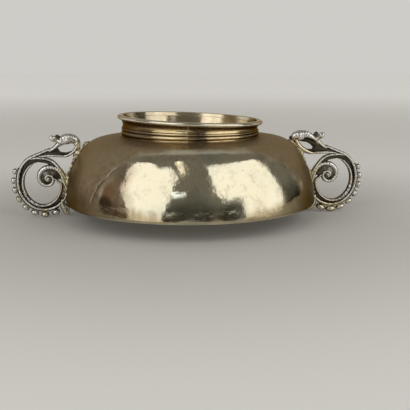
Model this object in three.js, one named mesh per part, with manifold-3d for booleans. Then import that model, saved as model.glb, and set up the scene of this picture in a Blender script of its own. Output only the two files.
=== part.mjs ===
// A silver wedding cup with two openwork scroll handles, standing rim down as in the photograph.
// Millimetres, +Z up. The origin is on the bowl's axis, at the height of the handles' lowest beads.
import * as THREE from "three";
import { mergeVertices } from "three/addons/utils/BufferGeometryUtils.js";
import Module from "manifold-3d";

const wasm = await Module();
wasm.setup();

// Bowl: three arcs that run into each other, from the rim up the side, round the shoulder and over the top
const RIM_RADIUS = 70;
const SIDE_ARC_RADIUS = 49;
const SIDE_ARC_END = 35.5;
const SHOULDER_RADIUS = 15.5;
const SHOULDER_END = 83;
const BOWL_WALL = 1;

// Foot ring, which the cup stands on in use. It leans: one side is a little higher than the other.
const FOOT_RADIUS = 38.3;
const FOOT_HEIGHT = 9.5;
const FOOT_LEAN = 2.4;
const BAND_WALL = 1;
const BAND_FLARE = 0.9;
const MOULDING_WALL = 0.9;
const LOWER_ROLL_RADIUS = 1.2;
const UPPER_ROLL_RADIUS = 0.65;
const RIM_WIRE_WIDTH = 2.6;
const RIM_WIRE_HEIGHT = 1.8;
const RIM_WIRE_ROUND = 0.6;
const FOOT_SOLDER_SIZE = 0.9;

// Handle rings and the volute, centred this far out from the rim's radius and this far above the rim's edge
const OUTER_RING = { out: 12, up: 10.8, halfWidth: 14.1, halfHeight: 15.7 };
const INNER_RING = { out: 12.9, up: 9.7, halfWidth: 10.6, halfHeight: 12.5 };
const VOLUTE = { out: 9.5, up: 12.7, radius: 8, turn: 510, tightening: 0.148 };

// Where the strands and the recessed web begin and end, in degrees round the rings
const SCROLL_START = 52;
const SCROLL_END = -148;
const WEB_END = -122;
const RING_START = 70;
const RING_END = -176;
const RING_JOINS_VOLUTE = 362;

// Half width in the handle's plane and half depth across it, for each strand
const SCROLL_SECTION = { width: 0.85, depth: 2.2 };
const RING_SECTION = { width: 0.75, depth: 1.9 };
const RING_BELLY = { at: 0.42, run: 0.15, share: 0.25 };
const VOLUTE_SECTION = { width: 0.75, depth: 1.8 };
const TOP_SECTION = { width: 0.85, depth: 1.7 };
const CHIN_SECTION = { width: 0.85, depth: 1.6 };
const NECK_SECTION = { width: 1.05, depth: 1.9 };
const WEB_DEPTH = 2.2;
const VOLUTE_WEB_DEPTH = 1.6;
const EYE_RADIUS = 1.4;
const TOP_STRAND_RISE = 4.9;

// Head: it sits on the bowl's shoulder, at this angle up the bowl's arc, and has a pair of ears
const HEAD_SEAT = 52;
const HEAD_DEPTH = 5.4;
const HEAD_EDGE = 0.9;
const EAR = { radius: 1.25, length: 1.9, stalk: 0.75, spread: 3.4, tilt: 47 };

// Beads round the outer scroll: each is an egg whose half thickness is its size
const BEAD_COUNT = 8;
const FIRST_BEAD_ANGLE = 19;
const BEAD_PITCH = 16.2;
const BEAD_PITCH_GROWTH = 0.33;
const SMALLEST_BEAD = 1.3;
const LARGEST_BEAD = 1.75;
const BEAD_STRETCH = { depth: 1.25, along: 1.4 };

// Leaf under the end of the outer scroll: the place of each lobe from that end, its half sizes and its tilt
const LEAF_LOBES = [
  { out: -0.3, up: -3.4, size: [1.2, 2, 2.4], tilt: 12 },
  { out: -1.1, up: -6.1, size: [1.05, 1.7, 2.1], tilt: -25 },
];

// Solder along each handle: a seam up the bowl's arcs, and heaps on it where the strands land
const SOLDER_SEAM = { from: 58, to: 1.5, width: 0.55, depth: 1.3 };
const SOLDER_HEAPS = {
  shoulder: { angle: 51, length: 2.4, width: 1.9, heap: 0.9 },
  upper: { angle: 32, length: 3.4, width: 1.9, heap: 2.3 },
  middle: { angle: 12.3, length: 3.6, width: 2, heap: 1.5 },
  lower: { angle: 3, length: 2.4, width: 2.1, heap: 1.2 },
};

// Clearance between touching pieces, and the reach of a strand's end into what it is cut back from
const SEAM = 0.3;
const RUN_IN = 3;

const BOWL_SIDES = 56;
const FOOT_SIDES = 48;
const HEAD_CORNERS = 24;

const radians = THREE.MathUtils.degToRad;
const point = (x, z) => new THREE.Vector3(x, 0, z);

// Booleans on closed meshes

function solidOf(geometry) {
  const bare = geometry.clone();
  bare.deleteAttribute("normal");
  bare.deleteAttribute("uv");
  const merged = mergeVertices(bare, 1e-4);
  const corners = merged.index.array;
  const faces = [];
  for (let i = 0; i < corners.length; i += 3) {
    const [a, b, c] = corners.subarray(i, i + 3);
    if (a !== b && b !== c && c !== a) faces.push(a, b, c);
  }
  const vertProperties = new Float32Array(merged.attributes.position.array);
  return new wasm.Manifold(new wasm.Mesh({ numProp: 3, vertProperties, triVerts: new Uint32Array(faces) }));
}

function geometryOf(solid) {
  const { vertProperties, triVerts } = solid.getMesh();
  const geometry = new THREE.BufferGeometry();
  geometry.setAttribute("position", new THREE.BufferAttribute(new Float32Array(vertProperties), 3));
  geometry.setIndex(new THREE.BufferAttribute(new Uint32Array(triVerts), 1));
  geometry.computeVertexNormals();
  return geometry;
}

// Cuts the others away from a solid and keeps its largest body
function cutBack(solid, others) {
  const rest = others.reduce((left, other) => left.subtract(other), solid);
  return rest.decompose().sort((a, b) => b.volume() - a.volume())[0];
}

// Turned shapes

function arc(centre, radius, from, to, steps) {
  return Array.from({ length: steps + 1 }, (_, i) => {
    const angle = radians(from + ((to - from) * i) / steps);
    return new THREE.Vector2(centre.x + radius * Math.cos(angle), centre.y + radius * Math.sin(angle));
  });
}

function turned(profile, sides) {
  return new THREE.LatheGeometry(profile, sides).rotateX(Math.PI / 2);
}

const sideCentre = new THREE.Vector2(RIM_RADIUS - SIDE_ARC_RADIUS, 0);
const shoulderCentre = new THREE.Vector2(
  sideCentre.x + (SIDE_ARC_RADIUS - SHOULDER_RADIUS) * Math.cos(radians(SIDE_ARC_END)),
  (SIDE_ARC_RADIUS - SHOULDER_RADIUS) * Math.sin(radians(SIDE_ARC_END)),
);
const topArcRadius = SHOULDER_RADIUS + shoulderCentre.x / Math.cos(radians(SHOULDER_END));
const topCentre = new THREE.Vector2(
  0,
  shoulderCentre.y - (topArcRadius - SHOULDER_RADIUS) * Math.sin(radians(SHOULDER_END)),
);

// The bowl's outer surface from the rim to the axis, moved outwards by an offset
function bowlProfile(offset) {
  return [
    ...arc(sideCentre, SIDE_ARC_RADIUS + offset, 0, SIDE_ARC_END, 5),
    ...arc(shoulderCentre, SHOULDER_RADIUS + offset, SIDE_ARC_END, SHOULDER_END, 5).slice(1),
    ...arc(topCentre, topArcRadius + offset, SHOULDER_END, 90, 3).slice(1, -1),
    new THREE.Vector2(0, topCentre.y + topArcRadius + offset),
  ];
}

// A point of the bowl's outer surface, at an angle up its side or shoulder arc, measured from the rim
function onBowl(angle, out = 0, up = 0) {
  const onSide = angle <= SIDE_ARC_END;
  const centre = onSide ? sideCentre : shoulderCentre;
  const radius = onSide ? SIDE_ARC_RADIUS : SHOULDER_RADIUS;
  const turn = radians(angle);
  return point(centre.x + radius * Math.cos(turn) - RIM_RADIUS + out, centre.y + radius * Math.sin(turn) + up);
}

// A point that stands off the bowl's outer surface
function offBowl(angle, height) {
  return onBowl(angle, height * Math.cos(radians(angle)), height * Math.sin(radians(angle)));
}

const bowlTopHeight = (radius) => topCentre.y + Math.sqrt(topArcRadius ** 2 - radius ** 2);

function bowl() {
  return turned([...bowlProfile(-BOWL_WALL).reverse(), ...bowlProfile(0)], BOWL_SIDES);
}

// Foot ring: heights are measured from the foot's base, which sits on the bowl

const footBase = bowlTopHeight(FOOT_RADIUS - MOULDING_WALL - BAND_WALL) + SEAM;
const bandRadius = FOOT_RADIUS - MOULDING_WALL - SEAM;
const bandTop = FOOT_HEIGHT - RIM_WIRE_HEIGHT - SEAM;

const mouldingHeight = 2 * (LOWER_ROLL_RADIUS + UPPER_ROLL_RADIUS);

// The foot is a little higher on one side than on the other
function leaning(geometry) {
  const places = geometry.attributes.position;
  for (let i = 0; i < places.count; i += 1) {
    const share = Math.min(1, Math.max(0, (places.getZ(i) - footBase) / bandTop));
    places.setZ(i, places.getZ(i) - places.getX(i) * Math.tan(radians(FOOT_LEAN)) * share);
  }
  return geometry;
}

function footPiece(profile) {
  const lifted = profile.map(([radius, height]) => new THREE.Vector2(radius, footBase + height));
  return leaning(turned([...lifted, lifted[0].clone()], FOOT_SIDES));
}

function footBand() {
  const step = mouldingHeight + SEAM;
  const inside = bandRadius - BAND_WALL;
  return footPiece([
    [bandRadius, 0],
    [bandRadius, step],
    [FOOT_RADIUS - BAND_FLARE / 9, step],
    [FOOT_RADIUS, step + (bandTop - step) / 2],
    [FOOT_RADIUS + BAND_FLARE, bandTop],
    [inside + BAND_FLARE, bandTop],
    [inside, step],
    [inside, 0],
  ]);
}

function footMoulding() {
  const roll = (radius, bottom, to) => {
    const centre = new THREE.Vector2(FOOT_RADIUS - radius / 2, bottom + radius);
    return arc(centre, radius, -75, to, 5).map(({ x, y }) => [x, y]);
  };
  return footPiece([
    [FOOT_RADIUS - MOULDING_WALL / 2, 0],
    ...roll(LOWER_ROLL_RADIUS, 0, 75),
    ...roll(UPPER_ROLL_RADIUS, 2 * LOWER_ROLL_RADIUS, 90),
    [FOOT_RADIUS - MOULDING_WALL, mouldingHeight],
    [FOOT_RADIUS - MOULDING_WALL, 0],
  ]);
}

function footRimWire() {
  const outside = FOOT_RADIUS + BAND_FLARE + RIM_WIRE_WIDTH / 2;
  const inside = outside - RIM_WIRE_WIDTH;
  const bottom = bandTop + SEAM;
  return footPiece([
    [outside - RIM_WIRE_ROUND, bottom],
    [outside, bottom + RIM_WIRE_ROUND],
    [outside, FOOT_HEIGHT - RIM_WIRE_ROUND],
    [outside - RIM_WIRE_ROUND / 3, FOOT_HEIGHT - RIM_WIRE_ROUND / 3],
    [outside - RIM_WIRE_ROUND, FOOT_HEIGHT],
    [inside, FOOT_HEIGHT],
    [inside, bottom],
  ]);
}

function footSolder() {
  const inside = FOOT_RADIUS + LOWER_ROLL_RADIUS / 2 + SEAM;
  const outside = inside + FOOT_SOLDER_SIZE;
  const bottom = (radius) => bowlTopHeight(radius) + SEAM - footBase;
  return footPiece([
    [inside, bottom(inside)],
    [outside, bottom(outside)],
    [inside, bottom(inside) + FOOT_SOLDER_SIZE],
  ]);
}

// Handle shapes: x is out from the rim's radius, z is up from the rim's edge

function ringPoint(ring, angle, grow = 0) {
  const turn = radians(angle);
  const x = ring.out + (ring.halfWidth + grow) * Math.cos(turn);
  return point(x, ring.up + (ring.halfHeight + grow) * Math.sin(turn));
}

function ringRun(ring, from, to, count) {
  return Array.from({ length: count + 1 }, (_, i) => ringPoint(ring, from + ((to - from) * i) / count));
}

// A strand along hand-placed points. thin(t) gives its section's share at each part of its length.
function strand(points, section, steps, grow = 0, thin = () => 1) {
  const path = new THREE.CatmullRomCurve3(points, false, "centripetal");
  const outline = new THREE.Shape();
  outline.absellipse(0, 0, section.depth + grow, section.width + grow, 0, 2 * Math.PI);
  const options = { steps, curveSegments: 4, bevelEnabled: false, extrudePath: path };
  const geometry = new THREE.ExtrudeGeometry(outline, options);
  const rings = path.getSpacedPoints(steps);
  const places = geometry.attributes.position;
  const corner = new THREE.Vector3();
  for (let i = 0; i < places.count; i += 1) {
    corner.fromBufferAttribute(places, i);
    const away = rings.map((centre) => centre.distanceTo(corner));
    const nearest = away.indexOf(Math.min(...away));
    const share = (thin(nearest / steps) * section.width + grow) / (section.width + grow);
    corner.sub(rings[nearest]).multiplyScalar(share).add(rings[nearest]);
    places.setXYZ(i, corner.x, corner.y, corner.z);
  }
  return solidOf(geometry);
}

const shapeOf = (points) => new THREE.Shape(points.map(({ x, z }) => new THREE.Vector2(x, z)));

// A flat piece in the handle's plane, with rounded edges where edge is more than 0
function plate(outline, depth, edge, detail) {
  const options = { depth: depth - 2 * edge, curveSegments: detail, bevelEnabled: edge > 0 };
  Object.assign(options, { bevelThickness: edge, bevelSize: edge, bevelOffset: -edge, bevelSegments: 2 });
  const geometry = new THREE.ExtrudeGeometry(outline, options);
  return solidOf(geometry.translate(0, 0, -options.depth / 2).rotateX(Math.PI / 2));
}

// An egg with three half sizes, whose first axis is tilted up from +X in the handle's plane
function ellipsoid(centre, across, depth, along, tilt) {
  const geometry = new THREE.SphereGeometry(1, 8, 6).rotateX(Math.PI / 2).scale(across, depth, along);
  return solidOf(geometry.rotateY(-tilt).translate(centre.x, centre.y, centre.z));
}

const volutePoint = (turned) => {
  const radius = VOLUTE.radius * Math.exp(-VOLUTE.tightening * radians(turned));
  const angle = radians(180 - turned);
  return point(VOLUTE.out + radius * Math.cos(angle), VOLUTE.up + radius * Math.sin(angle));
};

// A strand's section grows from a share to its full size over the first part of its length
const swell = (share, run) => (t) => Math.min(1, share + ((1 - share) * t) / run);

const fromSeat = (out, up) => onBowl(HEAD_SEAT, out, up);
const collar = fromSeat(19.6, -3);
const scrollTop = ringPoint(OUTER_RING, SCROLL_START);
const onShaft = (share, rise) => collar.clone().lerp(scrollTop, share).add(point(0, rise));

function neck(grow) {
  const points = [fromSeat(13.8, 1.7), fromSeat(14.8, 0.5), fromSeat(16.6, -1.2), collar];
  return strand(points, NECK_SECTION, 6, grow, (t) => 1 - 0.15 * t);
}

function outerScroll(grow) {
  const ring = ringRun(OUTER_RING, SCROLL_START, SCROLL_END, 14);
  const { x, z } = ring.at(-1);
  const points = [collar, onShaft(0.34, 0.5), onShaft(0.72, 0.7), ...ring, point(x - RUN_IN, z + RUN_IN)];
  return strand(points, SCROLL_SECTION, 29, grow, swell(0.75, 0.12));
}

// The inner ring starts as a thin tail, is widest at its outer side and ends in the volute's curl
function innerRing(grow) {
  const end = volutePoint(RING_JOINS_VOLUTE);
  const toVolute = [point(-2.6, -1.6), point(-1.5, -0.5), point(0, 0)].map((step) => step.add(end));
  const points = [...ringRun(INNER_RING, RING_START, RING_END, 16), ...toVolute];
  const belly = (t) => RING_BELLY.share * Math.exp(-(((t - RING_BELLY.at) / RING_BELLY.run) ** 2));
  return strand(points, RING_SECTION, 36, grow, (t) => swell(0.35, 0.09)(t) * (0.85 + belly(t)));
}

// The top strand leaves the outer scroll, rises in a bow and comes down on the middle heap of solder
const topStart = ringPoint(OUTER_RING, SCROLL_START - 1, -0.6);
const topFoot = onBowl(SOLDER_HEAPS.middle.angle, 1.7, 3.8);

function topRun(count) {
  const chord = topFoot.clone().sub(topStart);
  const bow = point(chord.z, -chord.x).normalize();
  return Array.from({ length: count + 1 }, (_, i) => {
    const rise = TOP_STRAND_RISE * Math.sin((Math.PI * i) / count);
    return topStart.clone().lerp(topFoot, i / count).addScaledVector(bow, rise);
  });
}

function topStrand(grow) {
  const landing = [[0.9, 1.6], [0.4, -0.4], [0.4 - RUN_IN / 2, -1.8]];
  const points = [...topRun(7), ...landing.map(([out, up]) => onBowl(SOLDER_HEAPS.middle.angle, out, up))];
  return strand(points, TOP_SECTION, 16, grow, swell(0.3, 0.18));
}

// The recessed web fills the space between the two rings, and on under the top strand to the volute
function web() {
  const cusp = [point(-0.3, 1.9), point(1, 2.5)].map((step) => step.add(volutePoint(90)));
  const corners = [
    ...ringRun(OUTER_RING, WEB_END, SCROLL_START, 16),
    ...topRun(7),
    ...[10, 35, 60, 90].map(volutePoint),
    ...cusp,
    ...ringRun(INNER_RING, RING_START, WEB_END, 16),
  ];
  return plate(shapeOf(corners), WEB_DEPTH, 0, 1);
}

// The chin strand leaves the shaft at the fork, turns up along the bowl and ends under the head.
// A web fills the fork as far as the window under the neck.
function chinStrand(grow) {
  const { angle } = SOLDER_HEAPS.upper;
  const fork = onShaft(0.55, -0.6);
  const bend = onBowl(angle, 7.2, -0.9);
  const level = [0, 0.33, 0.67, 1].map((share) => fork.clone().lerp(bend, share));
  const rise = [onBowl(angle, 4.4, 0.3), fromSeat(6.6, -3.7), fromSeat(5.4, -1.5), fromSeat(5, 0.9)];
  const ridge = strand([...level, ...rise], CHIN_SECTION, 16, grow, swell(0.3, 0.18));
  const window = [fromSeat(16.6, -1.2), fromSeat(15.6, -2.6), fromSeat(14.6, -4.4), fromSeat(12, -5.4)];
  const corners = [fork, onShaft(0.34, 0.5), collar, ...window, ...level.slice(1).reverse()];
  return ridge.add(plate(shapeOf(corners), WEB_DEPTH, 0, 1));
}

function volute(grow) {
  const { angle } = SOLDER_HEAPS.middle;
  const stem = [onBowl(angle, 0.2 - RUN_IN / 2, -4.2), onBowl(angle, 1.2, -2.8), onBowl(angle, 2.1, -1)];
  const spiral = Array.from({ length: 15 }, (_, i) => volutePoint((VOLUTE.turn * i) / 14));
  const taper = (t) => 1 - 0.3 * Math.max(0, t - 0.3);
  const ridge = strand([...stem, ...spiral], VOLUTE_SECTION, 31, grow, taper);
  const eye = ellipsoid(point(VOLUTE.out, VOLUTE.up), EYE_RADIUS, VOLUTE_SECTION.depth, EYE_RADIUS, 0);
  const rim = Array.from({ length: 15 }, (_, i) => volutePoint(24 + 24 * i));
  return ridge.add(eye).add(plate(shapeOf(rim), VOLUTE_WEB_DEPTH, 0, 1));
}

// The two heads differ as the photographed ones do: one reaches forward, the other bows down
const HEAD_OUTLINES = {
  right: [
    [14.4, 2.2], [12.3, 3.8], [9.6, 5.4], [6, 6.6], [3.2, 6.2], [0.5, 4.8], [-1.7, 2.7],
    [-0.7, 1.2], [2.2, 1.3], [4.8, 0.4], [8, 1.5], [11.2, 0.8], [13.5, -0.5],
  ],
  left: [
    [14.8, 2.1], [13.4, 3.6], [10.8, 5], [7.8, 5], [5.3, 3.5], [4.1, 1.1], [4.4, -1.1],
    [5.3, -1.1], [6.8, -0.2], [9, -0.5], [11.6, 0.2], [13.6, -0.2],
  ],
};

function head(side, grow) {
  const corners = HEAD_OUTLINES[side].map(([out, up]) => fromSeat(out, up));
  const round = new THREE.CatmullRomCurve3(corners, true, "centripetal").getSpacedPoints(HEAD_CORNERS);
  const outline = shapeOf(round.slice(0, -1));
  const solid = plate(outline, HEAD_DEPTH, HEAD_EDGE, 1);
  return grow ? solid.add(plate(outline, HEAD_DEPTH + 2 * grow, 0, 1)) : solid;
}

// An ear stands out to one side of the head, on a short stalk
function ear(across, grow) {
  const root = fromSeat(14.3, 0.8).setY(across / 3);
  const tip = fromSeat(17.2, 3.9).setY(across);
  const stalk = strand([root, root.clone().lerp(tip, 0.5), tip], { width: EAR.stalk, depth: EAR.stalk }, 3, grow);
  const radius = EAR.radius + grow;
  return stalk.add(ellipsoid(tip, EAR.length + grow, radius, radius, radians(EAR.tilt)));
}

// Centre, outward direction and size of each bead, counted from the top of the outer scroll
const beadPlaces = Array.from({ length: BEAD_COUNT }, (_, i) => {
  const angle = FIRST_BEAD_ANGLE - BEAD_PITCH * i - BEAD_PITCH_GROWTH * i * i;
  const size = SMALLEST_BEAD + ((LARGEST_BEAD - SMALLEST_BEAD) * i) / (BEAD_COUNT - 1);
  return { centre: ringPoint(OUTER_RING, angle, SCROLL_SECTION.width + SEAM + size), angle, size };
});

function bead({ centre, angle, size }) {
  return ellipsoid(centre, size, BEAD_STRETCH.depth * size, BEAD_STRETCH.along * size, radians(angle));
}

function rimLeaf() {
  const root = ringPoint(OUTER_RING, SCROLL_END + 8);
  const lobes = LEAF_LOBES.map(({ out, up, size, tilt }) => {
    return ellipsoid(root.clone().add(point(out, up)), ...size, radians(tilt));
  });
  return lobes[0].add(lobes[1]);
}

function solderSeam(grow) {
  const { from, to, width } = SOLDER_SEAM;
  const run = Array.from({ length: 12 }, (_, i) => offBowl(from + ((to - from) * i) / 11, width));
  const heaps = Object.values(SOLDER_HEAPS).map(({ angle, length, width: across, heap }) => {
    return ellipsoid(onBowl(angle), heap + SEAM + grow, across + grow, length + grow, radians(angle));
  });
  return heaps.reduce((whole, heap) => whole.add(heap), strand(run, SOLDER_SEAM, 22, grow));
}

// What the handles are cut back from at the bowl: its outer surface, filled, and run on below the rim's edge
const bowlCore = solidOf(
  turned(
    [
      new THREE.Vector2(0, -BOWL_WALL),
      new THREE.Vector2(RIM_RADIUS + SEAM, -BOWL_WALL),
      ...bowlProfile(SEAM),
    ],
    BOWL_SIDES * 2,
  ).translate(-RIM_RADIUS, 0, 0),
);

// Each piece is cut back from the bowl and from the pieces before it in the list
function handle(side) {
  const front = side === "right" ? -1 : 1;
  const pieces = [
    ["solder_seam", solderSeam],
    ["head", (grow) => head(side, grow)],
    ["neck", neck],
    ["outer_scroll", outerScroll],
    ["inner_ring", innerRing],
    ["top_strand", topStrand],
    ["volute", volute],
    ["chin_strand", chinStrand],
    ["front_ear", (grow) => ear(front * EAR.spread, grow)],
    ["back_ear", (grow) => ear(-front * EAR.spread, grow)],
    ["rim_leaf", rimLeaf],
    ...beadPlaces.map((place, i) => [`bead_${i + 1}`, () => bead(place)]),
  ];
  const before = [bowlCore];
  const solids = {};
  for (const [name, make] of pieces) {
    solids[name] = cutBack(make(0), before);
    before.push(make(SEAM));
  }
  const around = ["inner_ring", "top_strand", "chin_strand", "volute"].map((name) => {
    const [, make] = pieces.find(([piece]) => piece === name);
    return make(SEAM);
  });
  solids.outer_scroll = solids.outer_scroll.add(cutBack(web(), around));
  return solids;
}

// Finishes

function silver(name, color, roughness) {
  return new THREE.MeshStandardMaterial({ name, color, roughness, metalness: 1 });
}

const finishes = {
  bowl: () => silver("silver_bowl", 0xb8ad94, 0.3),
  foot: () => silver("silver_foot", 0xb59f70, 0.28),
  handle: () => silver("silver_handle", 0xd2cec0, 0.32),
  solder: () => silver("solder", 0xc9b06a, 0.4),
};

function named(name, geometry, material) {
  const mesh = new THREE.Mesh(geometry, material);
  mesh.name = name;
  return mesh;
}

// The lowest beads touch the table, which sets how high the rim is
const lowestBead = Math.min(
  ...beadPlaces.map((place) => {
    const geometry = geometryOf(bead(place));
    geometry.computeBoundingBox();
    return geometry.boundingBox.min.z;
  }),
);

const vessel = new THREE.Group();
vessel.position.z = -lowestBead;
vessel.add(named("bowl", bowl(), finishes.bowl()));
vessel.add(named("foot_band", footBand(), finishes.foot()));
vessel.add(named("foot_moulding", footMoulding(), finishes.foot()));
vessel.add(named("foot_rim_wire", footRimWire(), finishes.foot()));
vessel.add(named("foot_solder", footSolder(), finishes.solder()));

for (const side of ["right", "left"]) {
  const grip = new THREE.Group();
  grip.position.x = RIM_RADIUS;
  const turn = new THREE.Group();
  turn.rotation.z = side === "right" ? 0 : Math.PI;
  turn.add(grip);
  for (const [name, solid] of Object.entries(handle(side))) {
    const material = name.startsWith("solder") ? finishes.solder() : finishes.handle();
    grip.add(named(`${side}_${name}`, geometryOf(solid), material));
  }
  vessel.add(turn);
}

const cup = new THREE.Group();
cup.add(vessel);

export default cup;
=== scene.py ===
"""A silver wedding cup with two cast scroll handles, standing rim down, modelled round the CAD frame."""
import math

import bmesh
import bpy
from mathutils import Matrix, Vector
from mathutils.noise import noise


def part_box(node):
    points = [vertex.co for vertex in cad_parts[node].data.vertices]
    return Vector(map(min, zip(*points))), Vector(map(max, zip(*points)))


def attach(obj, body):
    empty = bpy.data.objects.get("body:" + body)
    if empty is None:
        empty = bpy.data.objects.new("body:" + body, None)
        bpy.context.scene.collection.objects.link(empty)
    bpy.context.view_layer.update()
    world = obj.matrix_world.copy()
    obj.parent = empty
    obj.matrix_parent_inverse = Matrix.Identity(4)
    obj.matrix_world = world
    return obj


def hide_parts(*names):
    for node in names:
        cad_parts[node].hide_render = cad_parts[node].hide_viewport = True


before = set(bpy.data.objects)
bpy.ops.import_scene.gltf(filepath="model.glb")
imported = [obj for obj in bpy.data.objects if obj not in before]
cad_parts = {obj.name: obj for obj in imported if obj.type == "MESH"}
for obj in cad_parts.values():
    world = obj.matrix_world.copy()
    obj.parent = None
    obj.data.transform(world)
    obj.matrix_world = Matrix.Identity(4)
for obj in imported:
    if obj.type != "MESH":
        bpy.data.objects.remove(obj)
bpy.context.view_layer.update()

MM = 0.001
BODY = "root"

# Places from the frame, in millimetres, which all the modelling below is done in
RIM_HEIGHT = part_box("bowl")[0].z / MM
RIM_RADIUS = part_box("bowl")[1].x / MM
FOOT_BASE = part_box("foot_band")[0].z / MM

# Bowl: three arcs, from the rim up the side, round the shoulder and over the top
SIDE_ARC_RADIUS = 49
SIDE_ARC_END = 35.5
SHOULDER_RADIUS = 15.5
SHOULDER_END = 83
BOWL_WALL = 1
BOWL_SIDES = 320

# Hammer marks of three sizes: how many to the millimetre, how deep, and where the pattern starts
HAMMER_MARKS = [
    (0.03, 0.3, (3.1, 0.4, 7.7)),
    (0.11, 0.24, (11.3, 5.2, 1.9)),
    (0.27, 0.07, (2.7, 8.8, 4.1)),
]
UNMARKED_RIM = 0.6
MARKS_GROW_OVER = 4

# The dent along the crease in the front of the bowl, as x and height above the rim, and the x it stays within
DENT = [(-39, 25.7), (-42, 23.1), (-45, 19.8), (-48.6, 16.4), (-50.2, 13.4), (-51.4, 10), (-53.4, 6.2)]
DENT_HALF_WIDTH = 2
DENT_DEPTH = 0.25
DENT_REACH = (-60, -32)

# Foot ring
FOOT_RADIUS = 38.3
FOOT_HEIGHT = 9.5
FOOT_LEAN = 2.4
BAND_WALL = 1
BAND_FLARE = 0.9
BAND_HOLLOW = 0.42
MOULDING_WALL = 0.9
SEAM = 0.3
LOWER_ROLL_RADIUS = 1.2
UPPER_ROLL_RADIUS = 0.65
RIM_WIRE_WIDTH = 2.6
RIM_WIRE_HEIGHT = 1.8
FOOT_SIDES = 288
FOOT_SEAM = {"x": -4.2, "half_width": 0.4, "height": 0.14, "pale": 0.45}
FOOT_WOBBLE = 0.07

# Painted shade: the foot's front is painted dark at both ends and in a stripe, by x, standing for dark
# reflections
FOOT_PAINTED_SHADE = {"ends_from": 21, "ends_over": 13, "stripe": 2.2, "stripe_width": 4, "share": 0.8}

# Handle rings and volute: out from the rim's radius and up from the rim's edge
OUTER_RING = {"out": 12, "up": 10.8, "half_width": 14.1, "half_height": 15.7}
INNER_RING = {"out": 12.9, "up": 9.7, "half_width": 10.6, "half_height": 12.5}
VOLUTE = {"out": 9.5, "up": 12.4, "radius": 8, "turn": 610, "tightening": 0.148, "inner_tightening": 0.2}
SCROLL_START = 52
SCROLL_END = -148
WEB_END = -122
RING_START = 79
RING_END = -176
WEB_DEPTH = 2.2
GROUND_DEPTH = 1.9
GROUND_CREST = 0.25

# Beads round the outer scroll. On the right the low ones are longer
BEAD_COUNT = 8
FIRST_BEAD_ANGLE = 19
BEAD_PITCH = 16.2
BEAD_PITCH_GROWTH = 0.33
SMALLEST_BEAD = 1.3
LARGEST_BEAD = 1.75
BEAD_OFF_SCROLL = 1.15
BEAD_LENGTH = 1.42
LOBED = {"below": -60, "along": 1.8}

# Solder on the bowl's side, by angle: the ends of its run, and its heaps' length, width and height
SOLDER_RUN = (54.5, 1.5)
SOLDER_HEAPS = {
    51: (2.4, 1.9, 0.9),
    32: (3.4, 1.9, 2.3),
    12.3: (3.6, 2.0, 1.5),
    3: (2.4, 2.1, 1.2),
}


# Meshes

def cast_mesh():
    """An empty bmesh with a crest attribute, which is high on ridges and low in hollows, and on the foot and
    the back ears also holds painted shade and painted highlights.
    """
    bm = bmesh.new()
    bm.verts.layers.float.new("crest_and_painted_shade")
    return bm


def crest_of(bm):
    return bm.verts.layers.float["crest_and_painted_shade"]


def as_object(bm, name, material):
    """Turns a bmesh in metres into an object of the scene."""
    mesh = bpy.data.meshes.new(name)
    bm.to_mesh(mesh)
    bm.free()
    made = bpy.data.objects.new(name, mesh)
    made.data.materials.append(material)
    bpy.context.scene.collection.objects.link(made)
    return made


def finish_mesh(bm, name, material, nodes, matrix):
    """Turns a bmesh in millimetres into a piece that stands for the CAD nodes."""
    bmesh.ops.remove_doubles(bm, verts=bm.verts, dist=1e-4)
    bmesh.ops.recalc_face_normals(bm, faces=bm.faces)
    bmesh.ops.transform(bm, matrix=matrix, verts=bm.verts)
    bmesh.ops.scale(bm, vec=(MM, MM, MM), verts=bm.verts)
    piece = as_object(bm, name, material)
    for face in piece.data.polygons:
        face.use_smooth = True
    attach(piece, BODY)
    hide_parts(*nodes)


def polar(angle, radius=1.0):
    """Out and up from a centre, at an angle in degrees."""
    turn = math.radians(angle)
    return (radius * math.cos(turn), radius * math.sin(turn))


def arc(centre, radius, start, end, steps):
    """Points of an arc in the XZ plane, by its angles in degrees."""
    places = [polar(start + (end - start) * i / steps, radius) for i in range(steps + 1)]
    return [Vector((centre[0] + out, 0, centre[1] + up)) for out, up in places]


def turned(profile, steps):
    """Spins a closed profile, or one that starts and ends on the axis, round the Z axis."""
    bm = cast_mesh()
    corners = [bm.verts.new(p) for p in profile]
    on_axis = profile[0].x == 0 and profile[-1].x == 0
    edges = [bm.edges.new(ends) for ends in zip(corners, corners[1:])]
    if not on_axis:
        edges.append(bm.edges.new((corners[-1], corners[0])))
    bmesh.ops.spin(bm, geom=corners + edges, axis=(0, 0, 1), angle=2 * math.pi, steps=steps, use_merge=True)
    bmesh.ops.remove_doubles(bm, verts=bm.verts, dist=1e-4)
    return bm


def between(p, q, r, s, t):
    """A smooth curve through four values, from the second at t = 0 to the third at t = 1."""
    bend = (2 * p - 5 * q + 4 * r - s) * t * t + (3 * q - p - 3 * r + s) * t ** 3
    return 0.5 * (2 * q + (r - p) * t + bend)


def blended(stations, spacing):
    """Runs a smooth line through stations of any number of values; the first two are out and up."""
    count = len(stations)
    run = []
    for i in range(count - 1):
        a, b = stations[max(i - 1, 0)], stations[i]
        c, d = stations[i + 1], stations[min(i + 2, count - 1)]
        steps = max(1, round(math.dist(b[:2], c[:2]) / spacing))
        for k in range(steps):
            run.append([between(*values, k / steps) for values in zip(a, b, c, d)])
    run.append(list(stations[-1]))
    return run


# The rings of a strand's rounded end lie at these angles round it
END_ANGLES = (12, 32, 55)


def end_ring(place, tangent, size, way, angle):
    """A ring past the strand's first station with way -1, or past its last with way 1."""
    past, share = polar(angle)
    return (place + tangent * (way * size[0] * past), tangent, size[0] * share, size[1] * share)


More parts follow.
